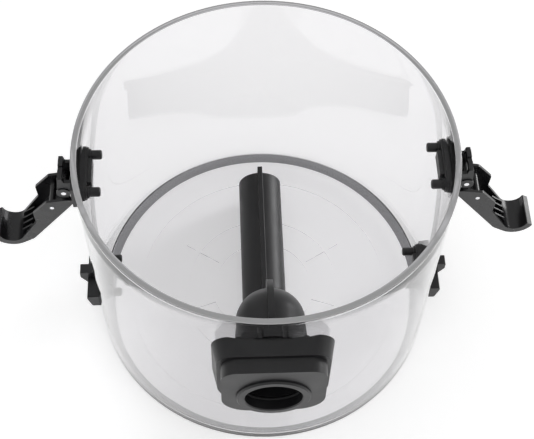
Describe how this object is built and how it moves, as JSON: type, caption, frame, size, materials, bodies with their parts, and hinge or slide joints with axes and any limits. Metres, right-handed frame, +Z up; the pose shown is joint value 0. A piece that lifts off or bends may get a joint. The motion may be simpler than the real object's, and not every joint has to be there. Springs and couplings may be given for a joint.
{
  "type": "vacuum cleaner tank",
  "caption": "Clear round catch tank of a canister wet vacuum cleaner, with a black hose inlet, elbow and floor tube, swing latches at the rim and fixed catches at the base.",
  "frame": {"origin": "centre of the flat underside of the tank", "axes": "+Z up along the tank's axis to the open rim, -Y out of the hose inlet, +X to the right-hand latch seen from the inlet's front"},
  "size_m": [0.4468, 0.3275, 0.224],
  "materials": {
    "clear_plastic": "clear, gloss",
    "black_plastic": "satin",
    "black_rubber": "matt",
    "bright_steel": "bright"
  },
  "bodies": {
    "tank": {"tank_wall_front_right": "clear_plastic", "tank_wall_front_left": "clear_plastic", "tank_wall_back_right": "clear_plastic", "tank_wall_back_left": "clear_plastic", "tank_foot": "clear_plastic", "tank_floor": "clear_plastic", "inlet_saddle": "black_plastic", "inlet_socket": "black_plastic", "inlet_nut": "black_plastic", "upper_elbow": "black_plastic", "drop_pipe": "black_plastic", "lower_elbow": "black_plastic", "floor_tube": "black_plastic", "latch_base_right": "black_plastic", "latch_base_left": "black_plastic", "latch_backing_plate_right": "black_plastic", "latch_backing_plate_left": "black_plastic", "catch_base_right": "black_plastic", "catch_base_left": "black_plastic", "catch_backing_plate_right": "black_plastic", "catch_backing_plate_left": "black_plastic", "inlet_gasket": "black_rubber", "inlet_seal_ring": "black_rubber", "inlet_inner_washer": "black_rubber", "latch_gasket_right": "black_rubber", "latch_gasket_left": "black_rubber", "latch_inner_pad_right": "black_rubber", "latch_inner_pad_left": "black_rubber", "catch_gasket_right": "black_rubber", "catch_gasket_left": "black_rubber", "catch_inner_pad_right": "black_rubber", "catch_inner_pad_left": "black_rubber", "latch_screws_right": "bright_steel", "latch_screws_left": "bright_steel", "latch_pivot_pin_right": "bright_steel", "latch_pivot_pin_left": "bright_steel", "catch_screws_right": "bright_steel", "catch_screws_left": "bright_steel"},
    "latch_right": {"latch_lever_right": "black_plastic", "latch_cross_pin_right": "bright_steel", "latch_spacer_right": "black_plastic"},
    "latch_left": {"latch_lever_left": "black_plastic", "latch_cross_pin_left": "bright_steel", "latch_spacer_left": "black_plastic"}
  },
  "joints": [
    {"name": "latch_right_swing", "type": "hinge", "parent": "tank", "child": "latch_right", "pos_m": [0.159, 0, 0.1855], "axis": [0, -1, 0], "range_deg": [0, 143]},
    {"name": "latch_left_swing", "type": "hinge", "parent": "tank", "child": "latch_left", "pos_m": [-0.159, 0, 0.1855], "axis": [0, 1, 0], "range_deg": [0, 143]}
  ]
}
